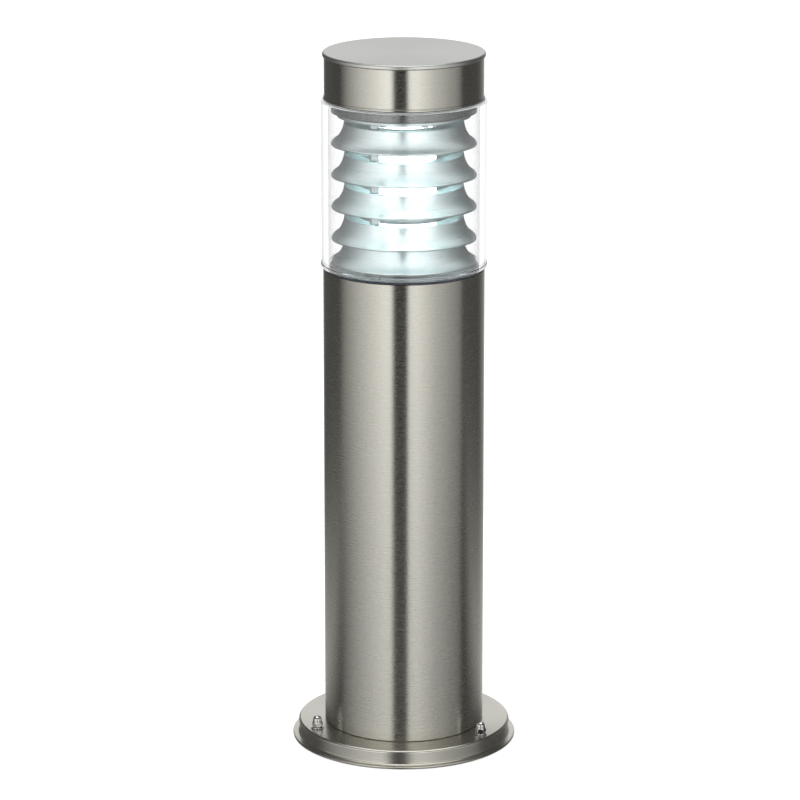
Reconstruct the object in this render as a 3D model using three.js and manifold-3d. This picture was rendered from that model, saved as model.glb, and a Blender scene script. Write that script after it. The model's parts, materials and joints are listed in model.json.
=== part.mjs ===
// Bollard light: a round brushed-steel post with a louvred lamp head under a plain cap.
// Millimetres, +Z up, origin at the centre of the base on the ground.
import * as THREE from "three";
import { mergeVertices } from "three/addons/utils/BufferGeometryUtils.js";
import Module from "manifold-3d";

const wasm = await Module();
wasm.setup();

// ---------- driving dimensions ----------

const GAP = 0.3; // clearance between pieces that touch

const OVERALL_HEIGHT = 500;
const POST_RADIUS = 57;
const POST_WALL = 1.5;
const POST_TOP = 346.5;

const BASE_TOP = 12; // upper face of the base cover
const BASE_DISC_RADIUS = 76.1;
const BASE_BRIM_RADIUS = 80.2;
const BASE_SHEET = 1.5;
const BASE_EDGE_ROLL = 1.8; // rounding of the disc's rim
const BASE_HOLE_RADIUS = 50;

const PLATE_THICKNESS = 3; // ground plate
const PLATE_RADIUS = 73;
const CABLE_HOLE_RADIUS = 16;
const CABLE_BORE_RADIUS = 7; // through the rubber bush in the cable hole
const GROUND_HOLE_RADIUS = 3.5;
const GROUND_CIRCLE_RADIUS = 48;

const STUD_RADIUS = 2;
const STUD_CIRCLE_RADIUS = 68;
const FIRST_STUD_ANGLE = 83.8; // degrees from +X, the one behind the post
const NUT_ACROSS_FLATS = 7;
const NUT_HEX_HEIGHT = 3.2;
const NUT_HEIGHT = 8;
const NUT_DOME_RADIUS = 3.2;
const WASHER_RADIUS = 4.5;
const WASHER_THICKNESS = 0.8;

const CLEAR_RADIUS = 58.2; // clear cylinder, outside
const CLEAR_WALL = 5;
const CLEAR_FOOT_RADIUS = 58.7;
const CLEAR_FOOT_HEIGHT = 2.6;
const LOWER_GASKET_THICKNESS = 1.5;
const UPPER_GASKET_THICKNESS = 0.8;
const GASKET_INNER = 53.6;
const GASKET_STANDS_OUT = 0.6; // beyond the metal edge each gasket lies on

const CAP_BOTTOM = 467.6;
const CAP_RADIUS = 56;
const CAP_WALL = 1.2;
const CAP_FLARE = 0.5; // how far the skirt's bottom edge stands out
const LID_RADIUS = 57;
const LID_THICKNESS = 3;
const SPIGOT_RADIUS = 51;
const SPIGOT_BOTTOM = 459.4;
const SPIGOT_RIM_RADIUS = 54.4; // the spigot's disc, inside the skirt

const LOUVRE_LIP_RADIUS = 51;
const LOUVRE_NECK_RADIUS = 42;
const LOUVRE_HOLE_RADIUS = 33;
const LOUVRE_SHEET = 1;
const LOUVRE_RIM = 0.9; // half the height of the lip's upright rim
const LOUVRE_RISE = 14.9; // from the middle of the rim to the neck's flat flange
const FLARE_BEND = [43, 4.8]; // where the flare turns: radius, and height above the rim
const LOUVRE_PITCH = 22.4;
const LOUVRE_COUNT = 4; // rings at full pitch, above the foot ring
const LOWEST_LIP = 369.6; // rim height of the lowest ring at full pitch
const FOOT_LIP = 352.8; // rim height of the foot ring
const TOP_RING_FACE = 458.6; // upper face of the flat ring that closes the stack
const TOP_RING_RADIUS = 47;
const TOP_RING_RIM = 2.6; // height of its turned-down rim

const ROD_RADIUS = 2;
const ROD_CIRCLE_RADIUS = 37.5;
const ROD_ANGLES = [238, 58];
const ROD_TOP = 465;
const SPACER_RADIUS = 3.5;
const ROD_NUT_ACROSS_FLATS = 7;
const ROD_NUT_HEIGHT = 3.2;

const LAMP_PLATE_TOP = 342.8;
const LAMP_PLATE_THICKNESS = 1.5;
const LAMP_PLATE_RADIUS = 55;
const WIRE_HOLE_RADIUS = 6;
const SUPPORT_RING_INNER = 47.5;
const SUPPORT_RING_LEG = 7;
const PLATE_SCREW_CIRCLE = 51.2;
const PLATE_SCREW_ANGLES = [18, 138, 258];
const SCREW_RADIUS = 2;
const SCREW_HEAD_RADIUS = 3;
const SCREW_HEAD_HEIGHT = 2.2;
const SCREW_LENGTH = 7;

const HOLDER_RADIUS = 19.5;
const HOLDER_HEIGHT = 28;
const HOLDER_FLOOR = 5;
const HOLDER_BORE = 15;
const SHELL_RADIUS = 13.2; // the lamp's 27 mm screw cap
const SHELL_HEIGHT = 20;
const LAMP_SEAT = 352.5; // lowest edge of the screw cap
const LAMP_BODY_TOP = 388;
const LAMP_RADIUS = 22.5;
const LAMP_TOP = 450;
const OPAL_WALL = 1.2;

const TERMINAL_SIZE = [34, 17, 14];
const TERMINAL_Y = 22;
const WIRE_RADIUS = 1.1;
const WIRE_SPREAD = 2.6; // half the distance between the two lamp wires in the holder
const EARTH_POINT = [-24, -12]; // earth screw on the lamp plate

// Facets round a full turn.
const LARGE = 40;
const MEDIUM = 32;
const SMALL = 16;
const TINY = 12;
const CORNER_STEPS = 2; // straight steps in half of one rounded corner
const FLARE_STEPS = 3; // straight steps down a louvre's flare

// ---------- helpers ----------

const radians = THREE.MathUtils.degToRad;

function onCircle(radius, degrees) {
  return [radius * Math.cos(radians(degrees)), radius * Math.sin(radians(degrees))];
}

function studAngle(index) {
  return FIRST_STUD_ANGLE + 120 * (index + 1);
}

function steel(color, roughness) {
  return new THREE.MeshStandardMaterial({ color, roughness, metalness: 1 });
}

function plastic(color, roughness) {
  return new THREE.MeshStandardMaterial({ color, roughness, metalness: 0 });
}

const finishes = {
  brushed: () => steel(0xb4b2a8, 0.35),
  polished: () => steel(0xd8d8d4, 0.12),
  zinc: () => steel(0xa9acae, 0.45),
  aluminium: () => steel(0xd3d9da, 0.3),
  brass: () => steel(0xc7a457, 0.35),
  nickel: () => steel(0xc4c2ba, 0.3),
  rubber: () => plastic(0x23262c, 0.8),
  ceramic: () => plastic(0xeeeae0, 0.3),
  white: () => plastic(0xf1f2f0, 0.4),
  opal: () => plastic(0xf4fbff, 0.5),
  brown: () => plastic(0x6b3f24, 0.5),
  blue: () => plastic(0x2f63ad, 0.5),
  green: () => plastic(0x6f9c33, 0.5),
  clear() {
    const material = plastic(0xf2f8fa, 0.05);
    material.transparent = true;
    material.opacity = 0.25;
    return material;
  },
};

// A closed geometry as a solid, for joining and cutting.
function solidOf(geometry) {
  const bare = geometry.clone();
  bare.deleteAttribute("normal");
  bare.deleteAttribute("uv");
  const merged = mergeVertices(bare, 1e-4);
  const vertProperties = merged.attributes.position.array;
  const triVerts = new Uint32Array(merged.index.array);
  return new wasm.Manifold(new wasm.Mesh({ numProp: 3, vertProperties, triVerts }));
}

function geometryOf(solid) {
  const { vertProperties, triVerts } = solid.getMesh();
  const geometry = new THREE.BufferGeometry();
  geometry.setAttribute("position", new THREE.BufferAttribute(vertProperties, 3));
  geometry.setIndex(new THREE.BufferAttribute(triVerts, 1));
  geometry.computeVertexNormals();
  return geometry;
}

function cut(body, tools) {
  const solid = tools.reduce((rest, tool) => rest.subtract(solidOf(tool)), solidOf(body));
  return geometryOf(solid);
}

function join(first, second) {
  return geometryOf(solidOf(first).add(solidOf(second)));
}

// A solid of revolution about Z. The outline is drawn in (radius, height), anticlockwise,
// and is closed by its own last edge, or by the axis when it starts and ends there.
function revolve(outline, facets, steps = CORNER_STEPS) {
  const points = outline.getPoints(steps);
  const first = points[0];
  const last = points[points.length - 1];
  const onAxis = first.x < 1e-6;
  if (!onAxis && first.distanceTo(last) > 1e-6) points.push(first.clone());
  return new THREE.LatheGeometry(points, facets).rotateX(Math.PI / 2);
}

function outlineThrough(corners) {
  const outline = new THREE.Path();
  outline.moveTo(...corners[0]);
  corners.slice(1).forEach((corner) => outline.lineTo(...corner));
  return outline;
}

function ring(inner, outer, bottom, top, facets) {
  const corners = [[inner, bottom], [outer, bottom], [outer, top], [inner, top]];
  return revolve(outlineThrough(corners), facets);
}

// A closed polygon with its corners on a circle, as a shape or a hole in one.
function polygon(Kind, x, y, radius, sides) {
  const outline = new Kind();
  for (let i = 0; i <= sides; i++) {
    const angle = (2 * Math.PI * i) / sides;
    const corner = [x + radius * Math.cos(angle), y + radius * Math.sin(angle)];
    if (i === 0) outline.moveTo(...corner);
    else outline.lineTo(...corner);
  }
  return outline;
}

function prism(shape, bottom, top) {
  const settings = { depth: top - bottom, bevelEnabled: false };
  return new THREE.ExtrudeGeometry(shape, settings).translate(0, 0, bottom);
}

function hexagon(acrossFlats) {
  return polygon(THREE.Shape, 0, 0, acrossFlats / Math.sqrt(3), 6);
}

function tubeAlong(points, radius, steps) {
  const extrudePath = new THREE.CatmullRomCurve3(points.map((p) => new THREE.Vector3(...p)));
  return new THREE.ExtrudeGeometry(polygon(THREE.Shape, 0, 0, radius, 8), { steps, extrudePath });
}

function piece(name, geometry, finish, position = [0, 0, 0]) {
  const mesh = new THREE.Mesh(geometry, finish());
  mesh.name = name;
  mesh.position.set(...position);
  return mesh;
}

function assembly(...pieces) {
  const group = new THREE.Group();
  group.add(...pieces.flat());
  return group;
}

// ---------- base ----------

function mountingPlate() {
  const shape = polygon(THREE.Shape, 0, 0, PLATE_RADIUS, LARGE);
  shape.holes.push(polygon(THREE.Path, 0, 0, CABLE_HOLE_RADIUS, SMALL));
  for (let i = 0; i < 3; i++) {
    const stud = onCircle(STUD_CIRCLE_RADIUS, studAngle(i));
    const screw = onCircle(GROUND_CIRCLE_RADIUS, studAngle(i) + 60);
    shape.holes.push(polygon(THREE.Path, ...stud, STUD_RADIUS + GAP, TINY));
    shape.holes.push(polygon(THREE.Path, ...screw, GROUND_HOLE_RADIUS, TINY));
  }
  return piece("mounting_plate", prism(shape, 0, PLATE_THICKNESS), finishes.zinc);
}

// A rubber edge bush pressed into the ground plate, where the supply cable comes up.
function cableGrommet() {
  const bore = CABLE_BORE_RADIUS;
  const neck = CABLE_HOLE_RADIUS - GAP - 0.2;
  const flange = neck + 3.5;
  const flangeBottom = PLATE_THICKNESS + GAP;
  const corners = [
    [bore, 0.4],
    [neck, 0.4],
    [neck, flangeBottom],
    [flange, flangeBottom],
    [flange, flangeBottom + 1.4],
    [flange - 1, flangeBottom + 2.2],
    [bore + 1, flangeBottom + 2.2],
    [bore, flangeBottom + 1.4],
  ];
  return piece("cable_grommet", revolve(outlineThrough(corners), SMALL), finishes.rubber);
}

// The pressed cover: a flat disc with a rolled rim, an upright skirt and an out-turned brim.
function baseCover() {
  const rollCentre = [BASE_DISC_RADIUS - BASE_EDGE_ROLL, BASE_TOP - BASE_EDGE_ROLL];
  const skirtFoot = BASE_DISC_RADIUS - 0.7;
  const brimTop = BASE_SHEET - 0.1;
  const footRound = 1.6;
  const outline = new THREE.Path();
  outline.moveTo(BASE_HOLE_RADIUS, BASE_TOP - BASE_SHEET);
  outline.lineTo(rollCentre[0], BASE_TOP - BASE_SHEET);
  outline.lineTo(BASE_DISC_RADIUS - BASE_SHEET, rollCentre[1] - 0.6);
  outline.lineTo(skirtFoot - BASE_SHEET, 0);
  outline.lineTo(BASE_BRIM_RADIUS, 0);
  outline.lineTo(BASE_BRIM_RADIUS, brimTop - 0.6);
  outline.lineTo(BASE_BRIM_RADIUS - 0.6, brimTop);
  outline.lineTo(skirtFoot + footRound, brimTop);
  outline.absarc(
    skirtFoot + footRound, brimTop + footRound, footRound, 1.5 * Math.PI, Math.PI, true,
  );
  outline.absarc(...rollCentre, BASE_EDGE_ROLL, 0, Math.PI / 2, false);
  outline.lineTo(BASE_HOLE_RADIUS, BASE_TOP);
  const holes = [0, 1, 2].map((i) => {
    const [x, y] = onCircle(STUD_CIRCLE_RADIUS, studAngle(i));
    const hole = polygon(THREE.Shape, x, y, STUD_RADIUS + GAP, TINY);
    return prism(hole, BASE_TOP - 2 * BASE_SHEET, BASE_TOP + 1);
  });
  return piece("base_cover", cut(revolve(outline, LARGE), holes), finishes.brushed);
}

const WASHER_BOTTOM = BASE_TOP + GAP;
const NUT_BOTTOM = WASHER_BOTTOM + WASHER_THICKNESS + GAP;
const NUT_BORE_TOP = NUT_BOTTOM + NUT_HEIGHT - 2.2;

// A shouldered stud: it stands in the ground plate and takes the domed nut.
function studGeometry() {
  const shoulder = 4.2;
  const shoulderBottom = PLATE_THICKNESS + GAP;
  const top = NUT_BORE_TOP - 0.5;
  const corners = [
    [0, 0.4],
    [STUD_RADIUS, 0.4],
    [STUD_RADIUS, shoulderBottom],
    [shoulder, shoulderBottom],
    [shoulder, shoulderBottom + 2],
    [STUD_RADIUS, shoulderBottom + 2],
    [STUD_RADIUS, top - 0.6],
    [STUD_RADIUS - 0.6, top],
    [0, top],
  ];
  return revolve(outlineThrough(corners), TINY);
}

function acornNutGeometry() {
  const hexTop = NUT_BOTTOM + NUT_HEX_HEIGHT;
  const domeCentre = NUT_BOTTOM + NUT_HEIGHT - NUT_DOME_RADIUS;
  const dome = new THREE.Path();
  dome.moveTo(0, NUT_BOTTOM + 1);
  dome.lineTo(NUT_DOME_RADIUS, NUT_BOTTOM + 1);
  dome.absarc(0, domeCentre, NUT_DOME_RADIUS, 0, Math.PI / 2, false);
  const hex = prism(hexagon(NUT_ACROSS_FLATS), NUT_BOTTOM, hexTop);
  const boreShape = polygon(THREE.Shape, 0, 0, STUD_RADIUS + GAP, TINY);
  const bore = prism(boreShape, NUT_BOTTOM - 1, NUT_BORE_TOP);
  return cut(join(hex, revolve(dome, SMALL)), [bore]);
}

function fixings() {
  return [0, 1, 2].flatMap((i) => {
    const place = [...onCircle(STUD_CIRCLE_RADIUS, studAngle(i)), 0];
    const washerTop = WASHER_BOTTOM + WASHER_THICKNESS;
    const washer = ring(STUD_RADIUS + GAP, WASHER_RADIUS, WASHER_BOTTOM, washerTop, TINY);
    return [
      piece(`base_stud_${i + 1}`, studGeometry(), finishes.zinc, place),
      piece(`fixing_washer_${i + 1}`, washer, finishes.polished, place),
      piece(`acorn_nut_${i + 1}`, acornNutGeometry(), finishes.polished, place),
    ];
  });
}

// ---------- post ----------

function bodyTube() {
  const inner = POST_RADIUS - POST_WALL;
  const corners = [
    [inner, BASE_TOP + GAP],
    [POST_RADIUS, BASE_TOP + GAP],
    [POST_RADIUS, POST_TOP - 0.4],
    [POST_RADIUS - 0.4, POST_TOP],
    [inner, POST_TOP],
  ];
  return piece("body_tube", revolve(outlineThrough(corners), LARGE), finishes.brushed);
}

const LAMP_PLATE_BOTTOM = LAMP_PLATE_TOP - LAMP_PLATE_THICKNESS;

// The angle ring welded inside the post, on which the lamp plate lies.
function plateSupportRing() {
  const outer = POST_RADIUS - POST_WALL - GAP;
  const top = LAMP_PLATE_BOTTOM - GAP;
  const corners = [
    [SUPPORT_RING_INNER, top - 2],
    [outer - 1.2, top - 2],
    [outer - 1.2, top - SUPPORT_RING_LEG],
    [outer, top - SUPPORT_RING_LEG],
    [outer, top],
    [SUPPORT_RING_INNER, top],
  ];
  const holes = PLATE_SCREW_ANGLES.map((angle) => {
    const [x, y] = onCircle(PLATE_SCREW_CIRCLE, angle);
    return prism(polygon(THREE.Shape, x, y, SCREW_RADIUS + GAP, TINY), top - 3, top + 1);
  });
  const geometry = cut(revolve(outlineThrough(corners), MEDIUM), holes);
  return piece("plate_support_ring", geometry, finishes.zinc);
}

function lampPlate() {
  const shape = polygon(THREE.Shape, 0, 0, LAMP_PLATE_RADIUS, MEDIUM);
  const screwHole = SCREW_RADIUS + GAP;
  shape.holes.push(polygon(THREE.Path, 0, 0, WIRE_HOLE_RADIUS, SMALL));
  shape.holes.push(polygon(THREE.Path, ...EARTH_POINT, screwHole, TINY));
  PLATE_SCREW_ANGLES.forEach((angle) => {
    const place = onCircle(PLATE_SCREW_CIRCLE, angle);
    shape.holes.push(polygon(THREE.Path, ...place, screwHole, TINY));
  });
  return piece("lamp_plate", prism(shape, LAMP_PLATE_BOTTOM, LAMP_PLATE_TOP), finishes.zinc);
}

// A pan-head screw standing on the lamp plate.
function plateScrewGeometry() {
  const seat = LAMP_PLATE_TOP + GAP;
  const corners = [
    [0, seat - SCREW_LENGTH],
    [SCREW_RADIUS, seat - SCREW_LENGTH],
    [SCREW_RADIUS, seat],
    [SCREW_HEAD_RADIUS, seat],
    [SCREW_HEAD_RADIUS, seat + SCREW_HEAD_HEIGHT / 2],
    [SCREW_HEAD_RADIUS - 1, seat + SCREW_HEAD_HEIGHT],
    [0, seat + SCREW_HEAD_HEIGHT],
  ];
  return revolve(outlineThrough(corners), TINY);
}

function plateScrews() {
  const screws = PLATE_SCREW_ANGLES.map((angle, i) => {
    const place = [...onCircle(PLATE_SCREW_CIRCLE, angle), 0];
    return piece(`plate_screw_${i + 1}`, plateScrewGeometry(), finishes.zinc, place);
  });
  screws.push(piece("earth_screw", plateScrewGeometry(), finishes.brass, [...EARTH_POINT, 0]));
  return screws;
}

const LOWER_GASKET_BOTTOM = POST_TOP + GAP;
const CLEAR_BOTTOM = LOWER_GASKET_BOTTOM + LOWER_GASKET_THICKNESS + GAP;
const CLEAR_TOP = CAP_BOTTOM - 2 * GAP - UPPER_GASKET_THICKNESS;

function lowerGasket() {
  const top = LOWER_GASKET_BOTTOM + LOWER_GASKET_THICKNESS;
  const outer = POST_RADIUS + GASKET_STANDS_OUT;
  const geometry = ring(GASKET_INNER, outer, LOWER_GASKET_BOTTOM, top, LARGE);
  return piece("lower_gasket", geometry, finishes.rubber);
}

// ---------- louvre stack ----------

// A flared ring: a flat flange at the neck, a concave flare and an upright rim at the lip.
function louvreGeometry(lipHeight) {
  const rimInner = LOUVRE_LIP_RADIUS - LOUVRE_SHEET;
  const neckInner = LOUVRE_NECK_RADIUS - LOUVRE_SHEET;
  const flangeTop = lipHeight + LOUVRE_RISE;
  const flangeBottom = flangeTop - LOUVRE_SHEET;
  const [bendRadius, bendRise] = FLARE_BEND;
  const half = LOUVRE_SHEET / 2;
  const bendUnder = [bendRadius - half, lipHeight + bendRise - half];
  const bendOver = [bendRadius + half, lipHeight + bendRise + half];
  const outline = new THREE.Path();
  outline.moveTo(LOUVRE_HOLE_RADIUS, flangeBottom);
  outline.lineTo(neckInner, flangeBottom);
  outline.quadraticCurveTo(...bendUnder, rimInner - 0.8, lipHeight + 0.3);
  outline.lineTo(rimInner, lipHeight - LOUVRE_RIM);
  outline.lineTo(LOUVRE_LIP_RADIUS, lipHeight - LOUVRE_RIM);
  outline.lineTo(LOUVRE_LIP_RADIUS, lipHeight + LOUVRE_RIM - 0.5);
  outline.lineTo(rimInner + 0.2, lipHeight + LOUVRE_RIM + 0.2);
  outline.quadraticCurveTo(...bendOver, LOUVRE_NECK_RADIUS, flangeTop - 0.5);
  outline.lineTo(LOUVRE_NECK_RADIUS - 0.5, flangeTop);
  outline.lineTo(LOUVRE_HOLE_RADIUS, flangeTop);
  return revolve(outline, MEDIUM, FLARE_STEPS);
}

// The flat ring with a turned-down rim that closes the stack under the cap.
function topRingGeometry() {
  const rimInner = TOP_RING_RADIUS - LOUVRE_SHEET;
  const rimBottom = TOP_RING_FACE - TOP_RING_RIM;
  const corners = [
    [LOUVRE_HOLE_RADIUS, TOP_RING_FACE - LOUVRE_SHEET],
    [rimInner, TOP_RING_FACE - LOUVRE_SHEET],
    [rimInner, rimBottom],
    [TOP_RING_RADIUS, rimBottom],
    [TOP_RING_RADIUS, TOP_RING_FACE - 0.5],
    [TOP_RING_RADIUS - 0.5, TOP_RING_FACE],
    [LOUVRE_HOLE_RADIUS, TOP_RING_FACE],
  ];
  return revolve(outlineThrough(corners), MEDIUM);
}

function withRodHoles(geometry) {
  const holes = ROD_ANGLES.map((angle) => {
    const [x, y] = onCircle(ROD_CIRCLE_RADIUS, angle);
    const hole = polygon(THREE.Shape, x, y, ROD_RADIUS + GAP, TINY);
    return prism(hole, FOOT_LIP, ROD_TOP);
  });
  return cut(geometry, holes);
}

// Rim heights of the flared rings, from the top of the stack down to the foot ring.
function lipHeights() {
  const atPitch = [];
  for (let i = LOUVRE_COUNT - 1; i >= 0; i--) atPitch.push(LOWEST_LIP + i * LOUVRE_PITCH);
  return [...atPitch, FOOT_LIP];
}

function louvreRings() {
  const top = withRodHoles(topRingGeometry());
  const rings = lipHeights().map((height, i) => {
    const geometry = withRodHoles(louvreGeometry(height));
    return piece(`louvre_ring_${i + 1}`, geometry, finishes.aluminium);
  });
  return [piece("louvre_top_ring", top, finishes.aluminium), ...rings];
}

// The spaces on a tie rod that its spacer tubes fill, from the top down to the lamp plate.
function spacerSpans() {
  const flanges = lipHeights().map((height) => height + LOUVRE_RISE);
  const ceilings = [TOP_RING_FACE, ...flanges].map((face) => face - LOUVRE_SHEET);
  const floors = [...flanges, LAMP_PLATE_TOP];
  return ceilings.map((ceiling, i) => [floors[i] + GAP, ceiling - GAP]);
}

function tieRods() {
  const rodBottom = LAMP_PLATE_TOP + GAP;
  return ROD_ANGLES.flatMap((angle, side) => {
    const place = [...onCircle(ROD_CIRCLE_RADIUS, angle), 0];
    const corners = [
      [0, rodBottom],
      [ROD_RADIUS, rodBottom],
      [ROD_RADIUS, ROD_TOP - 0.5],
      [ROD_RADIUS - 0.5, ROD_TOP],
      [0, ROD_TOP],
    ];
    const rod = revolve(outlineThrough(corners), TINY);
    const spacers = spacerSpans().map(([bottom, top], i) => {
      const geometry = ring(ROD_RADIUS + GAP, SPACER_RADIUS, bottom, top, TINY);
      return piece(`spacer_${side + 1}_${i + 1}`, geometry, finishes.zinc, place);
    });
    const nutShape = hexagon(ROD_NUT_ACROSS_FLATS);
    nutShape.holes.push(polygon(THREE.Path, 0, 0, ROD_RADIUS + GAP, TINY));
    const nutBottom = TOP_RING_FACE + GAP;
    const nut = prism(nutShape, nutBottom, nutBottom + ROD_NUT_HEIGHT);
    return [
      piece(`tie_rod_${side + 1}`, rod, finishes.zinc, place),
      ...spacers,
      piece(`rod_nut_${side + 1}`, nut, finishes.zinc, place),
    ];
  });
}

// ---------- lampholder and lamp ----------

function lampholder() {
  const bottom = LAMP_PLATE_TOP + GAP;
  const floor = bottom + HOLDER_FLOOR;
  const top = bottom + HOLDER_HEIGHT;
  const wireBore = 5;
  const cup = [
    [wireBore, bottom],
    [HOLDER_RADIUS, bottom],
    [HOLDER_RADIUS, top - 6],
    [HOLDER_RADIUS - 1.5, top],
    [HOLDER_BORE, top],
    [HOLDER_BORE, floor],
    [wireBore, floor],
  ];
  const contactBottom = floor + GAP;
  const contactTop = LAMP_SEAT - 1.6;
  const contact = [
    [0, contactBottom],
    [8, contactBottom],
    [8, contactBottom + 0.8],
    [3, contactTop],
    [0, contactTop],
  ];
  const sleeve = ring(SHELL_RADIUS + 0.5, HOLDER_BORE - GAP, floor + 2, top - 3, SMALL);
  return [
    piece("lampholder_body", revolve(outlineThrough(cup), SMALL), finishes.ceramic),
    piece("lampholder_contact", revolve(outlineThrough(contact), TINY), finishes.brass),
    piece("lampholder_sleeve", sleeve, finishes.brass),
  ];
}

const SHELL_TOP = LAMP_SEAT + SHELL_HEIGHT;

// The lamp's screw cap: a thin cup, open at the top and round the tip contact.
function lampShell() {
  const wall = 1;
  const corners = [
    [6, LAMP_SEAT],
    [SHELL_RADIUS - 3, LAMP_SEAT],
    [SHELL_RADIUS, LAMP_SEAT + 3],
    [SHELL_RADIUS, SHELL_TOP],
    [SHELL_RADIUS - wall, SHELL_TOP],
    [SHELL_RADIUS - wall, LAMP_SEAT + 3.4],
    [SHELL_RADIUS - 3.4, LAMP_SEAT + wall],
    [6, LAMP_SEAT + wall],
  ];
  return piece("lamp_screw_shell", revolve(outlineThrough(corners), SMALL), finishes.nickel);
}

function lampContact() {
  const corners = [
    [0, LAMP_SEAT - 1.2],
    [3, LAMP_SEAT - 1.2],
    [5.6, LAMP_SEAT],
    [5.6, LAMP_SEAT + 2.5],
    [0, LAMP_SEAT + 2.5],
  ];
  return piece("lamp_tip_contact", revolve(outlineThrough(corners), TINY), finishes.brass);
}

// The lamp's white body: a hollow cone with a shoulder that the opal cover stands on.
function lampBody() {
  const bottom = SHELL_TOP + GAP;
  const wall = 2;
  const corners = [
    [SHELL_RADIUS - 1.5, bottom],
    [SHELL_RADIUS + 1, bottom],
    [LAMP_RADIUS, LAMP_BODY_TOP - 4],
    [LAMP_RADIUS, LAMP_BODY_TOP],
    [LAMP_RADIUS - wall, LAMP_BODY_TOP],
    [LAMP_RADIUS - wall, LAMP_BODY_TOP - 3.5],
    [SHELL_RADIUS - 1.5, bottom + 2.5],
  ];
  return piece("lamp_body", revolve(outlineThrough(corners), SMALL), finishes.white);
}

// The opal cover: a straight cylinder with a domed end, open where it meets the body.
function lampDiffuser() {
  const bottom = LAMP_BODY_TOP + GAP;
  const domeCentre = LAMP_TOP - LAMP_RADIUS;
  const inner = LAMP_RADIUS - OPAL_WALL;
  const outline = new THREE.Path();
  outline.absarc(0, domeCentre, inner, Math.PI / 2, 0, true);
  outline.lineTo(inner, bottom);
  outline.lineTo(LAMP_RADIUS, bottom);
  outline.absarc(0, domeCentre, LAMP_RADIUS, 0, Math.PI / 2, false);
  return piece("lamp_diffuser", revolve(outline, SMALL, FLARE_STEPS), finishes.opal);
}

// ---------- wiring ----------

const TERMINAL_TOP = LAMP_PLATE_BOTTOM - GAP;

// A three-way terminal block under the lamp plate, with a bore for each conductor.
function terminalBlock() {
  const [width, depth, height] = TERMINAL_SIZE;
  const middle = TERMINAL_TOP - height / 2;
  const box = new THREE.BoxGeometry(width, depth, height).translate(0, TERMINAL_Y, middle);
  const bores = [-1, 0, 1].map((column) => {
    const bore = prism(polygon(THREE.Shape, 0, 0, WIRE_RADIUS + 0.6, TINY), -depth, depth);
    return bore.rotateX(Math.PI / 2).translate((column * width) / 3, TERMINAL_Y, middle);
  });
  return piece("terminal_block", cut(box, bores), finishes.white);
}

// Conductors from the terminal block up to the lampholder, and one to the earth screw.
function wires() {
  const column = TERMINAL_SIZE[0] / 3;
  const level = TERMINAL_TOP - TERMINAL_SIZE[2] / 2;
  const inBlock = TERMINAL_Y;
  const face = TERMINAL_Y - TERMINAL_SIZE[1] / 2;
  const holderFloor = LAMP_PLATE_TOP + HOLDER_FLOOR;
  const lampWire = (side) => [
    [side * column, inBlock, level],
    [side * column, face - 3, level],
    [side * (WIRE_SPREAD + 3), 3, level - 1],
    [side * WIRE_SPREAD, 0, level + 5],
    [side * WIRE_SPREAD, 0, holderFloor],
  ];
  const [earthX, earthY] = EARTH_POINT;
  const earthWire = [
    [0, inBlock, level],
    [0, face - 2, level],
    [-5, 2, level - 5],
    [earthX + 6, earthY + 4, level - 4],
    [earthX + SCREW_RADIUS + 2, earthY, LAMP_PLATE_BOTTOM - 4],
    [earthX + SCREW_RADIUS + 2, earthY, LAMP_PLATE_BOTTOM - GAP],
  ];
  return [
    piece("wire_live", tubeAlong(lampWire(-1), WIRE_RADIUS, 16), finishes.brown),
    piece("wire_neutral", tubeAlong(lampWire(1), WIRE_RADIUS, 16), finishes.blue),
    piece("wire_earth", tubeAlong(earthWire, WIRE_RADIUS, 20), finishes.green),
  ];
}

// ---------- lift-off head ----------

function clearCylinder() {
  const inner = CLEAR_RADIUS - CLEAR_WALL;
  const footTop = CLEAR_BOTTOM + CLEAR_FOOT_HEIGHT;
  const corners = [
    [inner, CLEAR_BOTTOM],
    [CLEAR_FOOT_RADIUS - 0.4, CLEAR_BOTTOM],
    [CLEAR_FOOT_RADIUS, CLEAR_BOTTOM + 0.4],
    [CLEAR_FOOT_RADIUS, footTop - 0.8],
    [CLEAR_RADIUS, footTop],
    [CLEAR_RADIUS, CLEAR_TOP],
    [inner, CLEAR_TOP],
  ];
  return piece("clear_cylinder", revolve(outlineThrough(corners), LARGE), finishes.clear);
}

function upperGasket() {
  const bottom = CLEAR_TOP + GAP;
  const top = bottom + UPPER_GASKET_THICKNESS;
  const geometry = ring(GASKET_INNER, CAP_RADIUS + GASKET_STANDS_OUT, bottom, top, LARGE);
  return piece("upper_gasket", geometry, finishes.rubber);
}

// A shallow cup, mouth down, that centres the cap in the clear cylinder and closes the cap.
function capSpigot() {
  const inner = SPIGOT_RADIUS - CAP_WALL;
  const corners = [
    [0, CAP_BOTTOM],
    [inner, CAP_BOTTOM],
    [inner, SPIGOT_BOTTOM],
    [SPIGOT_RADIUS, SPIGOT_BOTTOM],
    [SPIGOT_RADIUS, CAP_BOTTOM],
    [SPIGOT_RIM_RADIUS, CAP_BOTTOM],
    [SPIGOT_RIM_RADIUS, CAP_BOTTOM + CAP_WALL],
    [0, CAP_BOTTOM + CAP_WALL],
  ];
  return piece("cap_spigot", revolve(outlineThrough(corners), LARGE), finishes.brushed);
}

const LID_BOTTOM = OVERALL_HEIGHT - LID_THICKNESS;

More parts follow.
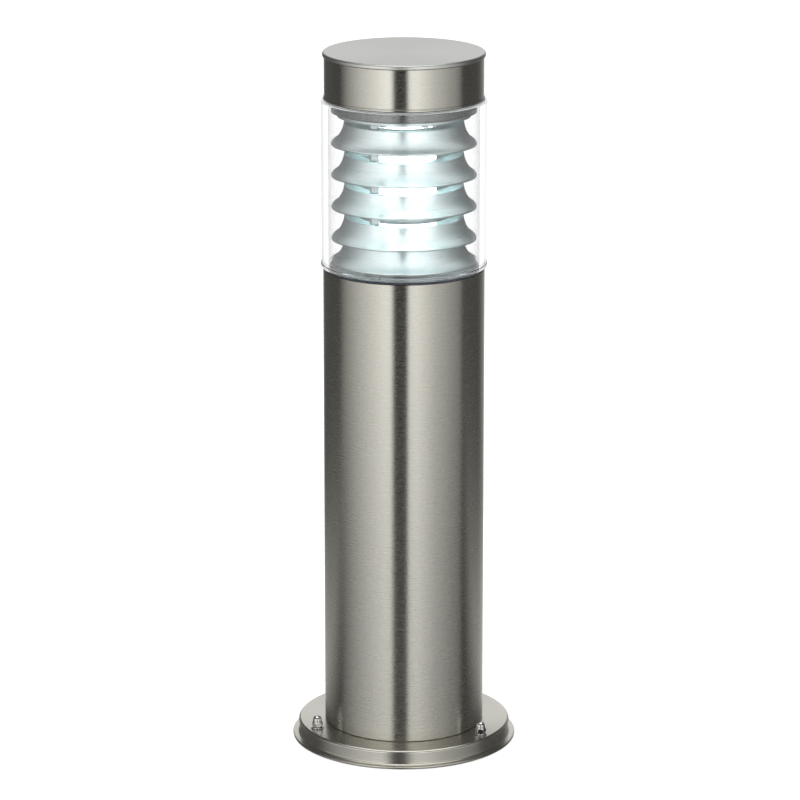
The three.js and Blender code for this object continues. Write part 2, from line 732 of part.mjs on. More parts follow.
function capSkirt() {
  const inner = CAP_RADIUS - CAP_WALL;
  const corners = [
    [inner, CAP_BOTTOM],
    [CAP_RADIUS + CAP_FLARE, CAP_BOTTOM],
    [CAP_RADIUS + CAP_FLARE, CAP_BOTTOM + 0.8],
    [CAP_RADIUS, CAP_BOTTOM + 2.2],
    [CAP_RADIUS, LID_BOTTOM - GAP],
    [inner, LID_BOTTOM - GAP],
  ];
  return piece("cap_skirt", revolve(outlineThrough(corners), LARGE), finishes.brushed);
}

function capLid() {
  const round = 1.2;
  const lid = new THREE.Path();
  lid.moveTo(0, LID_BOTTOM);
  lid.lineTo(LID_RADIUS - 0.5, LID_BOTTOM);
  lid.lineTo(LID_RADIUS, LID_BOTTOM + 0.5);
  lid.absarc(LID_RADIUS - round, OVERALL_HEIGHT - round, round, 0, Math.PI / 2, false);
  lid.lineTo(0, OVERALL_HEIGHT);
  return piece("cap_lid", revolve(lid, LARGE), finishes.brushed);
}

// ---------- the whole light ----------

const base = assembly(mountingPlate(), cableGrommet(), baseCover(), fixings());
const post = assembly(bodyTube(), plateSupportRing(), lampPlate(), plateScrews(), lowerGasket());
const louvres = assembly(louvreRings(), tieRods());
const holder = assembly(lampholder());
const lamp = assembly(lampShell(), lampContact(), lampBody(), lampDiffuser());
const wiring = assembly(terminalBlock(), wires());
const head = assembly(clearCylinder(), upperGasket(), capSpigot(), capSkirt(), capLid());

export default assembly(base, post, louvres, holder, lamp, wiring, head);
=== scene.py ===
"""Looks of the bollard light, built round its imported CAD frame. Metres, +Z up."""

import json
import math

import bmesh
import bpy
from mathutils import Matrix, Vector


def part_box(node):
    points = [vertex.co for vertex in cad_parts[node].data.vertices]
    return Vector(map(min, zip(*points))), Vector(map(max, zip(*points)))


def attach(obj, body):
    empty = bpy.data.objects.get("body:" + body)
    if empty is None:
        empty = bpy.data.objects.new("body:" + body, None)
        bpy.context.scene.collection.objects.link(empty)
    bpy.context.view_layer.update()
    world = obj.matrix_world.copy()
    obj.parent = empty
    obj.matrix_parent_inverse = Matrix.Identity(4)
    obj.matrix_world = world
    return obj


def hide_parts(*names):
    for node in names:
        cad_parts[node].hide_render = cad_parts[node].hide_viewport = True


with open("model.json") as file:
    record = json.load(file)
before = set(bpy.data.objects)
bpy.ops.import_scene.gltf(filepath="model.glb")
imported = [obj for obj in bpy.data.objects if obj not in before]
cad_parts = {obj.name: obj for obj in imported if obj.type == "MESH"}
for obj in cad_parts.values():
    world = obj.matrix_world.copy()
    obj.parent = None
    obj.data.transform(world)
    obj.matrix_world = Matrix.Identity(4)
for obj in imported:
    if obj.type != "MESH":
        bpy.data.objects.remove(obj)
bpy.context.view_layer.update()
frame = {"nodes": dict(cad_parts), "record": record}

MM = 0.001
FINE = 192  # facets round the post, cap and louvres
COARSE = 64  # facets round small parts
CLEAR_FACETS = 256
HOLE_FACETS = 24
ROD_FACETS = 24
CORNER_STEPS = 5
ON_AXIS = 1e-7  # a smaller radius is a single point
SMOOTH_LIMIT = math.radians(32)
HOLD = 0.3 * MM  # straight strip kept beside a rounding


# ---------- sizes read from the CAD ----------


class Span:
    """Heights, radius and centre of an upright CAD node."""

    def __init__(self, node):
        low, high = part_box(node)
        self.bottom = low.z
        self.top = high.z
        self.height = high.z - low.z
        self.centre = (low + high) / 2
        self.radius = max(high.x - low.x, high.y - low.y) / 2


BODY_OF = {
    node: body
    for body, nodes in frame["record"]["behaviour"]["bodies"].items()
    for node in nodes
}
SLOT_OF = {row["node"]: row["material_slot"] for row in frame["record"]["subparts"]}

COVER = Span("base_cover")
TUBE = Span("body_tube")
CLEAR = Span("clear_cylinder")
SPIGOT = Span("cap_spigot")
SKIRT = Span("cap_skirt")
LID = Span("cap_lid")
SHEET = 1.5 * MM  # wall of the post and of the base cover
CAP_WALL = 1.2 * MM


# ---------- mesh helpers ----------


def rounded(corners, steps=CORNER_STEPS):
    """Points round a closed outline of (radius, height, rounding) corners.
    A point just off each end of a rounding keeps the shading of the straight faces flat."""
    places = [Vector(corner[:2]) for corner in corners]
    reach = []  # how far each rounding eats into its two edges
    for i, (*_, rounding) in enumerate(corners):
        back = places[i - 1] - places[i]
        ahead = places[(i + 1) % len(places)] - places[i]
        reach.append(rounding / math.tan(back.angle(ahead) / 2) if rounding else 0.0)
    points = []
    for i, here in enumerate(places):
        k = (i + 1) % len(places)
        if not reach[i]:
            points.append(here)
            continue
        back = (places[i - 1] - here).normalized()
        ahead = (places[k] - here).normalized()
        start, end = here + back * reach[i], here + ahead * reach[i]
        radius = corners[i][2]
        middle = here + (back + ahead).normalized() * radius / math.sin(back.angle(ahead) / 2)
        spoke = start - middle
        sweep = spoke.angle_signed(end - middle)
        before = (places[i - 1] - here).length - reach[i] - reach[i - 1]
        after = (places[k] - here).length - reach[i] - reach[k]
        points.append(start + back * min(HOLD, before / 3))
        for step in range(steps + 1):
            points.append(middle + Matrix.Rotation(-sweep * step / steps, 2) @ spoke)
        points.append(end + ahead * min(HOLD, after / 3))
    return points


def arc(centre, radius, first, last, steps):
    """Points on an arc in (radius, height), angles in degrees."""
    turn = (math.radians(first + (last - first) * k / steps) for k in range(steps + 1))
    return [Vector((centre[0] + radius * math.cos(a), centre[1] + radius * math.sin(a))) for a in turn]


def bend(start, control, end, steps):
    """Points on a quadratic curve in (radius, height)."""
    start, control, end = Vector(start), Vector(control), Vector(end)
    shares = (k / steps for k in range(steps + 1))
    return [start * (1 - t) ** 2 + control * 2 * t * (1 - t) + end * t**2 for t in shares]


def column(radius, bottom, top, steps):
    """Points up a straight side, for radius_at to shape."""
    return [Vector((radius, bottom + (top - bottom) * k / steps)) for k in range(steps + 1)]


def disc(radius, bottom, top):
    """Outline of a plain solid disc."""
    return rounded([(0, bottom, 0), (radius, bottom, 0), (radius, top, 0), (0, top, 0)])


def mesh_object(name, bm):
    bmesh.ops.recalc_face_normals(bm, faces=bm.faces)
    mesh = bpy.data.meshes.new(name)
    bm.to_mesh(mesh)
    bm.free()
    mesh.shade_smooth()
    mesh.set_sharp_from_angle(angle=SMOOTH_LIMIT)
    made = bpy.data.objects.new(name, mesh)
    bpy.context.scene.collection.objects.link(made)
    return made


def lathe(name, outline, facets=FINE, centre=(0, 0), radius_at=None):
    """Turns a closed (radius, height) outline about an upright axis.
    radius_at(radius, angle, height) may change the radius from point to point."""
    bm = bmesh.new()
    rings = []
    for r, z in outline:
        if r < ON_AXIS:
            rings.append([bm.verts.new((*centre, z))])
            continue
        ring = []
        for i in range(facets):
            angle = math.tau * i / facets
            reach = radius_at(r, angle, z) if radius_at else r
            x = centre[0] + reach * math.cos(angle)
            y = centre[1] + reach * math.sin(angle)
            ring.append(bm.verts.new((x, y, z)))
        rings.append(ring)
    for lower, upper in zip(rings, rings[1:] + rings[:1]):
        if len(lower) == 1 and len(upper) == 1:
            continue
        for i in range(facets):
            k = (i + 1) % facets
            corners = [ring[j % len(ring)] for ring, j in ((lower, i), (lower, k), (upper, k), (upper, i))]
            bm.faces.new(list(dict.fromkeys(corners)))
    return mesh_object(name, bm)


def pierce(piece, places, radius, bottom, top):
    """Cuts round upright holes through a piece."""
    for x, y in places:
        tool = lathe("tool", disc(radius, bottom, top), HOLE_FACETS, (x, y))
        hole = piece.modifiers.new("hole", "BOOLEAN")
        hole.operation = "DIFFERENCE"
        hole.solver = "EXACT"
        hole.object = tool
        with bpy.context.temp_override(object=piece, active_object=piece):
            bpy.ops.object.modifier_apply(modifier=hole.name)
        bpy.data.objects.remove(tool)
    piece.data.set_sharp_from_angle(angle=SMOOTH_LIMIT)


def stand_for(piece, node, material):
    """piece takes the place of a CAD node: same body, same slot."""
    piece.data.materials.clear()
    piece.data.materials.append(material)
    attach(piece, BODY_OF[node])
    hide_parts(node)
    return piece


# ---------- materials ----------


class Nodes:
    """A node tree, with short calls for adding and joining nodes."""

    def __init__(self, tree):
        self.tree = tree

    def add(self, kind, settings=None, **inputs):
        """Adds a node; an input is a value or another node's output socket."""
        node = self.tree.nodes.new("ShaderNode" + kind)
        for key, value in (settings or {}).items():
            setattr(node, key, value)
        for key, value in inputs.items():
            self.feed(node, int(key[1:]) if key[1:].isdigit() else key.replace("_", " "), value)
        return node

    def feed(self, node, key, value):
        if isinstance(value, bpy.types.NodeSocket):
            self.tree.links.new(value, node.inputs[key])
        else:
            node.inputs[key].default_value = value

    def math(self, operation, *values):
        node = self.add("Math", {"operation": operation})
        for i, value in enumerate(values):
            self.feed(node, i, value)
        return node.outputs[0]

    def vector(self, operation, *values):
        node = self.add("VectorMath", {"operation": operation})
        for i, value in enumerate(values):
            self.feed(node, i, value)
        return node.outputs["Value" if operation in ("LENGTH", "DOT_PRODUCT") else "Vector"]

    def place(self):
        return self.add("TexCoord").outputs["Object"]

    def noise(self, vector, scale, detail=3.0, roughness=0.5, dimensions="3D", w=None):
        node = self.add("TexNoise", {"noise_dimensions": dimensions}, Vector=vector, Scale=scale)
        self.feed(node, "Detail", detail)
        self.feed(node, "Roughness", roughness)
        if w is not None:
            self.feed(node, "W", w)
        return node.outputs["Fac"]

    def remap(self, value, low, high, to_low, to_high):
        node = self.add("MapRange", {"clamp": True})
        for i, v in enumerate((value, low, high, to_low, to_high)):
            self.feed(node, i, v)
        return node.outputs["Result"]

    def blend(self, share, first, second):
        node = self.add("Mix", {"data_type": "RGBA"})
        self.feed(node, 0, share)
        self.feed(node, 6, first)
        self.feed(node, 7, second)
        return node.outputs[2]

    def mix(self, share, first, second):
        node = self.add("Mix", {"data_type": "FLOAT"})
        for key, value in ((0, share), (2, first), (3, second)):
            self.feed(node, key, value)
        return node.outputs[0]

    def lines_round_axis(self, per_metre, per_turn, detail=4.0):
        """Fine noise drawn out round the Z axis, as a brush leaves on a turning part."""
        place = self.place()
        flat = self.vector("MULTIPLY", place, (1, 1, 0))
        heading = self.add("SeparateXYZ", None, Vector=self.vector("NORMALIZE", flat))
        height = self.add("SeparateXYZ", None, Vector=place)
        across = self.math("MULTIPLY", self.vector("LENGTH", flat), per_metre)
        along = self.math("MULTIPLY", height.outputs["Z"], per_metre)
        turn = self.math("MULTIPLY", heading.outputs["X"], per_turn)
        spot = self.add("CombineXYZ", None, X=across, Y=along, Z=turn)
        w = self.math("MULTIPLY", heading.outputs["Y"], per_turn)
        return self.noise(spot.outputs[0], 1.0, detail, 0.6, "4D", w)


class Surface(Nodes):
    """A new material with its one Principled shader."""

    def __init__(self, name):
        self.material = bpy.data.materials.new(name)
        self.material.use_nodes = True
        super().__init__(self.material.node_tree)
        self.shader = self.tree.nodes["Principled BSDF"]

    def set(self, **inputs):
        for key, value in inputs.items():
            self.feed(self.shader, key.replace("_", " "), value)

    def bump(self, height, strength, distance):
        node = self.add("Bump", None, Strength=strength, Distance=distance, Height=height)
        self.set(Normal=node.outputs["Normal"])

    def brushed_round_axis(self, anisotropy):
        """Spreads the highlights across lines that run round the Z axis."""
        tangent = self.add("Tangent", {"direction_type": "RADIAL", "axis": "Z"})
        self.set(Anisotropic=anisotropy, Anisotropic_Rotation=QUARTER_TURN, Tangent=tangent.outputs[0])


QUARTER_TURN = 0.25


def rgba(r, g, b):
    return (r, g, b, 1.0)


def shade_of(colour, factor):
    return rgba(*(min(1.0, c * factor) for c in colour))


def brushed_steel(name, colour, roughness, anisotropy):
    """Stainless steel brushed round the axis, with handling marks."""
    n = Surface(name)
    fine = n.lines_round_axis(2600, 5)
    broad = n.lines_round_axis(420, 3)
    marks = n.noise(n.place(), 14, 5, 0.65)
    lines = n.math("ADD", n.math("MULTIPLY", fine, 0.6), n.math("MULTIPLY", broad, 0.4))
    shade = n.remap(lines, 0.3, 0.7, 0.0, 1.0)
    colours = n.blend(shade, shade_of(colour, 0.985), shade_of(colour, 1.015))
    line_rough = n.remap(lines, 0.3, 0.7, roughness - 0.01, roughness + 0.01)
    rough = n.math("ADD", line_rough, n.remap(marks, 0.45, 0.75, 0.0, 0.01))
    n.set(Base_Color=colours, Metallic=1.0, Roughness=rough)
    n.brushed_round_axis(anisotropy)
    n.bump(lines, 0.002, 0.05 * MM)
    return n.material


def polished_steel(name, colour, roughness):
    """Polished metal with faint scratches and a little tarnish."""
    n = Surface(name)
    scratches = n.noise(n.vector("MULTIPLY", n.place(), (900, 900, 5000)), 1.0, 4, 0.7)
    tarnish = n.noise(n.place(), 260, 4, 0.6)
    rough = n.remap(scratches, 0.35, 0.7, roughness, roughness + 0.08)
    colours = n.blend(n.remap(tarnish, 0.5, 0.8, 0.0, 0.7), rgba(*colour), shade_of(colour, 0.82))
    n.set(Base_Color=colours, Metallic=1.0, Roughness=rough)
    n.bump(scratches, 0.05, 0.03 * MM)
    return n.material


def zinc_plate(name, colour, roughness):
    """Zinc plating: a dull metal with a soft spangle."""
    n = Surface(name)
    cells = n.add("TexVoronoi", {"feature": "F1"}, Vector=n.place(), Scale=190.0)
    cloud = n.noise(n.place(), 60, 4, 0.6)
    share = n.remap(n.math("MULTIPLY", cells.outputs["Distance"], cloud), 0.05, 0.45, 0.0, 1.0)
    rough = n.remap(cloud, 0.3, 0.7, roughness - 0.08, roughness + 0.1)
    n.set(Base_Color=n.blend(share, shade_of(colour, 0.8), rgba(*colour)), Metallic=1.0, Roughness=rough)
    n.bump(cloud, 0.1, 0.05 * MM)
    return n.material


def satin_aluminium(name, colour, roughness, anisotropy):
    """Spun aluminium: turning lines round the axis under a satin anodised skin."""
    n = Surface(name)
    turned = n.lines_round_axis(1500, 2)
    cloud = n.noise(n.place(), 90, 4, 0.6)
    shade = n.remap(turned, 0.3, 0.7, 0.0, 1.0)
    line_rough = n.remap(turned, 0.3, 0.7, roughness - 0.04, roughness + 0.04)
    rough = n.math("ADD", line_rough, n.remap(cloud, 0.5, 0.8, 0.0, 0.06))
    n.set(Base_Color=n.blend(shade, shade_of(colour, 0.9), rgba(*colour)), Metallic=1.0, Roughness=rough)
    n.brushed_round_axis(anisotropy)
    n.bump(turned, 0.1, 0.04 * MM)
    return n.material


POLYCARBONATE_IOR = 1.58


def clear_plastic(name, colour):
    """Clear polycarbonate with the faintest draw lines and wipe marks."""
    n = Surface(name)
    wipes = n.noise(n.vector("MULTIPLY", n.place(), (40, 40, 90)), 1.0, 4, 0.6)
    draw = n.lines_round_axis(90, 2, 2.0)
    rough = n.remap(wipes, 0.55, 0.8, 0.0, 0.03)
    n.set(Base_Color=rgba(*colour), Roughness=rough, IOR=POLYCARBONATE_IOR, Transmission_Weight=1.0)
    n.bump(draw, 0.006, 0.05 * MM)
    return n.material


def cut_edge(name, colour):
    """The sawn end of a clear tube: matt and nearly white."""
    n = Surface(name)
    saw = n.lines_round_axis(3000, 8)
    n.set(Base_Color=rgba(*colour), Roughness=n.remap(saw, 0.3, 0.7, 0.4, 0.6), Specular_IOR_Level=0.4)
    n.bump(saw, 0.1, 0.02 * MM)
    return n.material


def rubber(name, colour):
    """Rubber with a fine grain and a pale bloom."""
    n = Surface(name)
    grain = n.noise(n.place(), 2200, 4, 0.7)
    bloom = n.noise(n.place(), 70, 4, 0.6)
    light = rgba(*(min(1.0, c * 1.6 + 0.02) for c in colour))
    colours = n.blend(n.remap(bloom, 0.4, 0.75, 0.0, 0.8), rgba(*colour), light)
    n.set(Base_Color=colours, Roughness=n.remap(grain, 0.3, 0.7, 0.62, 0.8), Specular_IOR_Level=0.35)
    n.bump(grain, 0.25, 0.05 * MM)
    return n.material


def moulded_plastic(name, colour, roughness, grain_size=1500):
    """Plastic, or the painted-light white of the lamp plate, with a fine grain and soft flow marks."""
    n = Surface(name)
    grain = n.noise(n.place(), grain_size, 3, 0.6)
    flow = n.noise(n.place(), 45, 3, 0.5)
    colours = n.blend(n.remap(flow, 0.4, 0.7, 0.0, 1.0), rgba(*colour), shade_of(colour, 0.9))
    rough = n.remap(grain, 0.3, 0.7, roughness - 0.06, roughness + 0.08)
    n.set(Base_Color=colours, Roughness=rough, Specular_IOR_Level=0.5)
    n.bump(grain, 0.12, 0.03 * MM)
    return n.material


def porcelain(name, colour):
    """Glazed porcelain with a few specks."""
    n = Surface(name)
    waves = n.noise(n.place(), 120, 3, 0.5)
    specks = n.noise(n.place(), 1400, 2, 0.5)
    colours = n.blend(n.remap(specks, 0.62, 0.75, 0.0, 0.7), rgba(*colour), shade_of(colour, 0.86))
    n.set(Base_Color=colours, Roughness=n.remap(waves, 0.3, 0.7, 0.1, 0.22), Coat_Weight=0.6)
    n.bump(waves, 0.08, 0.1 * MM)
    return n.material


def opal(name, colour, strength):
    """Opal plastic lit from inside, with faint clouds."""
    n = Surface(name)
    cloud = n.noise(n.place(), 80, 3, 0.5)
    grain = n.noise(n.place(), 1200, 2, 0.5)
    glow = n.remap(cloud, 0.3, 0.7, strength * 0.92, strength * 1.08)
    n.set(Base_Color=rgba(*colour), Roughness=n.remap(grain, 0.3, 0.7, 0.4, 0.5))
    n.set(Emission_Color=rgba(*colour), Emission_Strength=glow)
    n.bump(grain, 0.05, 0.02 * MM)
    return n.material


STEEL = (0.645, 0.63, 0.565)
COVER_STEEL = brushed_steel("cover steel", STEEL, 0.26, 0.6)
# Painted light: the lamp plate is made white in place of its zinc finish, so the part of it that shows
# inside comes out bright.
PAINTED_LIGHT_FINISH = {"lamp_plate": moulded_plastic("painted light white", (0.9, 0.92, 0.93), 0.3)}
LID_STEEL = brushed_steel("lid steel", (0.67, 0.675, 0.645), 0.36, 0.15)
FINISHES = {
    "brushed_steel": brushed_steel("brushed steel", STEEL, 0.27, 1.0),
    "spigot_steel": brushed_steel("spigot steel", (0.27, 0.275, 0.268), 0.27, 1.0),
    "polished_steel": polished_steel("polished steel", (0.7, 0.695, 0.68), 0.03),
    "zinc_steel": zinc_plate("zinc plate", (0.62, 0.64, 0.66), 0.42),
    "rod_steel": polished_steel("bright zinc", (0.82, 0.87, 0.88), 0.35),
    "louvre_aluminium": satin_aluminium("spun aluminium", (0.85, 0.95, 0.95), 0.3, 0.6),
    "clear_plastic": clear_plastic("clear polycarbonate", (0.988, 0.993, 0.995)),
    "dark_rubber": rubber("dark rubber", (0.022, 0.026, 0.04)),
    "grey_rubber": rubber("grey silicone", (0.25, 0.27, 0.27)),
    "holder_ceramic": porcelain("porcelain", (0.86, 0.83, 0.76)),
    "brass": polished_steel("brass", (0.79, 0.6, 0.28), 0.25),
    "nickel": polished_steel("nickel plate", (0.72, 0.7, 0.65), 0.18),
    "lamp_white": moulded_plastic("white plastic", (0.86, 0.88, 0.87), 0.35),
    "lamp_opal": opal("lit opal", (0.9, 0.98, 1.0), 4.2),
    "terminal_plastic": moulded_plastic("natural polyamide", (0.78, 0.76, 0.68), 0.5),
    "brown_wire": moulded_plastic("brown insulation", (0.16, 0.07, 0.03), 0.4, 900),
    "blue_wire": moulded_plastic("blue insulation", (0.03, 0.12, 0.42), 0.4, 900),
    "green_wire": moulded_plastic("green insulation", (0.16, 0.36, 0.05), 0.4, 900),
}


def remade(
    node, outline, facets=FINE, centre=(0, 0), radius_at=None, holes=(), hole_radius=0.0, finish=None
):
    """A finely turned piece that stands for a CAD node."""
    piece = lathe(node + "_fine", outline, facets, centre, radius_at)
    if holes:
        span = Span(node)
        pierce(piece, holes, hole_radius, span.bottom - MM, span.top + MM)
    return stand_for(piece, node, finish or FINISHES[SLOT_OF[node]])


def centre_of(node):
    return Span(node).centre.xy


# ---------- base ----------

STUDS = [centre_of(f"base_stud_{i}") for i in (1, 2, 3)]
STUD_HOLE = 2.3 * MM
NUT_APOTHEM = 3.5 * MM


def base_cover():
    """The pressed cover: disc with a rolled rim, upright skirt, out-turned brim."""
    roll = 1.8 * MM
    opening = 50 * MM
    shoulder = COVER.radius - 4.1 * MM
    skirt_foot = shoulder - 0.7 * MM
    brim_top = SHEET - 0.1 * MM
    foot_round = 1.6 * MM
    brim_round = 0.6 * MM
    outline = [
        Vector((opening, COVER.top - SHEET)),
        Vector((shoulder - roll, COVER.top - SHEET)),
        Vector((shoulder - SHEET, COVER.top - roll - 0.6 * MM)),
        Vector((skirt_foot - SHEET, 0.0)),
        Vector((COVER.radius - 0.2 * MM, 0.0)),
        *arc((COVER.radius - brim_round, brim_top - brim_round), brim_round, 0, 90, CORNER_STEPS),
        *arc((skirt_foot + foot_round, brim_top + foot_round), foot_round, 270, 182, 8),
        *arc((shoulder - roll, COVER.top - roll), roll, 0, 90, 8),
        Vector((opening, COVER.top)),
    ]
    remade("base_cover", outline, holes=STUDS, hole_radius=STUD_HOLE, finish=COVER_STEEL)


def hexagon_limit(apothem, centre_angle=0.0):
    """Holds a turned radius inside a hexagon, so that its corners come out chamfered."""

    def radius_at(r, angle, z):
        off = (angle - centre_angle) % (math.pi / 3) - math.pi / 6
        return min(r, apothem / math.cos(off))

    return radius_at


NUT_TURNS = (0.35, 1.0, 0.1)  # how each nut happened to stop, in radians


def acorn_nut(i):
    node = f"acorn_nut_{i}"
    span = Span(node)
    apothem, hex_height = NUT_APOTHEM, 3.2 * MM
    corner = apothem / math.cos(math.pi / 6)
    dome = 3.2 * MM
    hex_top = span.bottom + hex_height
    chamfer = 0.45 * MM
    ceiling = span.top - 2.2 * MM
    outline = [
        Vector((0, ceiling)),
        Vector((STUD_HOLE, ceiling)),
        Vector((STUD_HOLE, span.bottom)),
        Vector((apothem - 0.15 * MM, span.bottom)),
        *bend(
            (apothem - 0.1 * MM, span.bottom + 0.02 * MM),
            (apothem + 0.3 * MM, span.bottom + 0.1 * MM),
            (corner, span.bottom + chamfer),
            4,
        ),
        *column(corner, span.bottom + chamfer, hex_top - chamfer, 4)[1:-1],
        *bend(
            (corner, hex_top - chamfer),
            (apothem + 0.3 * MM, hex_top - 0.1 * MM),
            (apothem - 0.15 * MM, hex_top),
            5,
        ),
        Vector((dome + 0.15 * MM, hex_top)),
        *bend(
            (dome + 0.1 * MM, hex_top + 0.02 * MM),
            (dome, hex_top + 0.05 * MM),
            (dome, hex_top + 0.3 * MM),
            3,
        ),
        *arc((0, span.top - dome), dome, 0, 90, 16)[:-1],
        Vector((0, span.top)),
    ]
    limit = hexagon_limit(apothem, NUT_TURNS[i - 1])

    def radius_at(r, angle, z):
        return limit(r, angle, z) if z <= hex_top else r

    remade(node, outline, 96, span.centre.xy, radius_at)


def fixing_washer(i):
    node = f"fixing_washer_{i}"
    span = Span(node)
    edge = 0.2 * MM
    corners = [
        (STUD_HOLE, span.bottom, 0.1 * MM),
        (span.radius, span.bottom, edge),
        (span.radius, span.top, edge),
        (STUD_HOLE, span.top, 0.1 * MM),
    ]
    remade(node, rounded(corners), COARSE, span.centre.xy)


# ---------- post and cap ----------


def straight_ring(node, inner, outer, bottom, top, edge, facets=FINE, centre=(0, 0)):
    corners = [(inner, bottom, edge), (outer, bottom, edge), (outer, top, edge), (inner, top, edge)]
    remade(node, rounded(corners), facets, centre)


def body_tube():
    edge = 0.35 * MM
    straight_ring("body_tube", TUBE.radius - SHEET, TUBE.radius, TUBE.bottom, TUBE.top, edge)


def clear_cylinder():
    """The clear wall: a stepped foot, and a matt sawn end at the top."""
    outer = CLEAR.radius - 0.5 * MM
    inner = outer - 5 * MM
    foot_top = CLEAR.bottom + 2.6 * MM
    edge = 0.2 * MM
    corners = [
        (inner, CLEAR.bottom, edge),
        (CLEAR.radius, CLEAR.bottom, edge),
        (CLEAR.radius, foot_top - 0.6 * MM, 0.5 * MM),
        (outer, foot_top, 0.4 * MM),
        (outer, CLEAR.top, edge),
        (inner, CLEAR.top, edge),
    ]
    wall = remade("clear_cylinder", rounded(corners), CLEAR_FACETS)
    wall.data.materials.append(cut_edge("cut polycarbonate", (0.94, 0.96, 0.97)))
    for face in wall.data.polygons:
        if face.normal.z > 0.99 and face.center.z > CLEAR.top - MM:
            face.material_index = 1


GASKET_BORE = 53.6 * MM


def gaskets():
    for node in ("lower_gasket", "upper_gasket"):
        span = Span(node)
        straight_ring(node, GASKET_BORE, span.radius, span.bottom, span.top, span.height * 0.3)


def cap_spigot():
    """A plate that rests on the clear cylinder, with a cup rim that hangs inside it."""
    cup = 51 * MM
    plate_bottom = SPIGOT.top - CAP_WALL
    corners = [
        (0, plate_bottom, 0),
        (cup - CAP_WALL, plate_bottom, 0.8 * MM),
        (cup - CAP_WALL, SPIGOT.bottom, 0.3 * MM),
        (cup, SPIGOT.bottom, 0.3 * MM),
        (cup, plate_bottom, 0.3 * MM),
        (SPIGOT.radius, plate_bottom, 0.2 * MM),
        (SPIGOT.radius, SPIGOT.top, 0.2 * MM),
        (0, SPIGOT.top, 0),
    ]
    remade("cap_spigot", rounded(corners))


def cap_skirt():
    """The skirt of the cap, with a rolled bead at its foot."""
    wall = SKIRT.radius - 0.5 * MM
    inner = wall - CAP_WALL
    corners = [
        (inner, SKIRT.bottom, 0.3 * MM),
        (SKIRT.radius, SKIRT.bottom, 0.35 * MM),
        (SKIRT.radius, SKIRT.bottom + 0.9 * MM, 0.3 * MM),
        (wall, SKIRT.bottom + 2.2 * MM, 1.2 * MM),
        (wall, SKIRT.top, 0.3 * MM),
        (inner, SKIRT.top, 0.3 * MM),
    ]
    remade("cap_skirt", rounded(corners))


def cap_lid():
    corners = [
        (0, LID.bottom, 0),
        (LID.radius, LID.bottom, 0.6 * MM),
        (LID.radius, LID.top, 1.4 * MM),
        (0, LID.top, 0),
    ]
    remade("cap_lid", rounded(corners, 8), finish=LID_STEEL)


# ---------- louvre stack ----------

RODS = [centre_of(f"tie_rod_{side}") for side in (1, 2)]
ROD_HOLE = 2.3 * MM
LOUVRE_SHEET = 1.0 * MM
LOUVRE_HOLE = 33 * MM
LOUVRE_NECK = 42 * MM
FLARE_STEPS = 14


def louvre_ring(i):
    """A flared ring: flat flange at the neck, concave flare, rolled bead at the lip."""
    node = f"louvre_ring_{i}"
    span = Span(node)
    lip, neck = span.radius, LOUVRE_NECK
    bead = 0.9 * MM
    foot = span.bottom
    under = span.top - LOUVRE_SHEET
    inner_neck = neck - LOUVRE_SHEET
    bend_r, bend_z = 43 * MM, foot + 5.7 * MM
    half = LOUVRE_SHEET / 2
    outline = [
        Vector((LOUVRE_HOLE, under)),
        *bend(
            (inner_neck - 1.2 * MM, under),
            (inner_neck, under),
            (inner_neck + 0.1 * MM, under - 1.2 * MM),
            4,
        ),
        *bend(
            (inner_neck + 0.1 * MM, under - 1.3 * MM),
            (bend_r - half, bend_z - half),
            (lip - 2.0 * MM, foot + 1.2 * MM),
            FLARE_STEPS,
        ),
        *arc((lip - bead, foot + bead), bead, 170, 460, 16),
        Vector((lip - 1.35 * MM, foot + 1.62 * MM)),
        *bend(
            (lip - 1.5 * MM, foot + 1.78 * MM),
            (bend_r + half, bend_z + half),
            (neck + 0.05 * MM, span.top - 1.3 * MM),
            FLARE_STEPS,
        ),
        *bend((neck, span.top - 1.0 * MM), (neck, span.top), (neck - 1.0 * MM, span.top), 4),
        Vector((LOUVRE_HOLE, span.top)),
    ]
    remade(node, outline, holes=RODS, hole_radius=ROD_HOLE)


def louvre_top_ring():
    """The flat ring with a turned-down rim that closes the stack."""
    span = Span("louvre_top_ring")
    lip = span.radius
    corners = [
        (LOUVRE_HOLE, span.top - LOUVRE_SHEET, 0.3 * MM),
        (lip - LOUVRE_SHEET, span.top - LOUVRE_SHEET, 0.4 * MM),
        (lip - LOUVRE_SHEET, span.bottom, 0.3 * MM),
        (lip, span.bottom, 0.3 * MM),
        (lip, span.top, 0.9 * MM),
        (LOUVRE_HOLE, span.top, 0.3 * MM),
    ]
    remade("louvre_top_ring", rounded(corners), holes=RODS, hole_radius=ROD_HOLE)


def tie_rod(side):
    """A threaded rod: its thread shows above the top ring, where its nut sits."""
    node = f"tie_rod_{side}"
    span = Span(node)
    pitch, depth = 0.7 * MM, 0.22 * MM
    thread_from = span.top - 9 * MM
    steps = 13 * 8
    end_chamfer = 0.4 * MM
    body = [
        Vector((0, span.bottom)),
        Vector((span.radius - depth, span.bottom)),
        Vector((span.radius, span.bottom + 0.3 * MM)),
        *column(span.radius, thread_from, span.top - end_chamfer, steps),
        Vector((span.radius - end_chamfer, span.top)),
        Vector((0, span.top)),
    ]

    def radius_at(r, angle, z):
        if z < thread_from or r < span.radius:
            return r
        wave = 0.5 - 0.5 * math.cos(math.tau * (z / pitch) - angle)
        return r - depth * wave * min(1.0, (z - thread_from) / pitch)

    remade(node, body, ROD_FACETS, span.centre.xy, radius_at)


def spacer(side, i):
    node = f"spacer_{side}_{i}"
    span = Span(node)
    straight_ring(node, ROD_HOLE, span.radius, span.bottom, span.top, 0.25 * MM, 40, span.centre.xy)


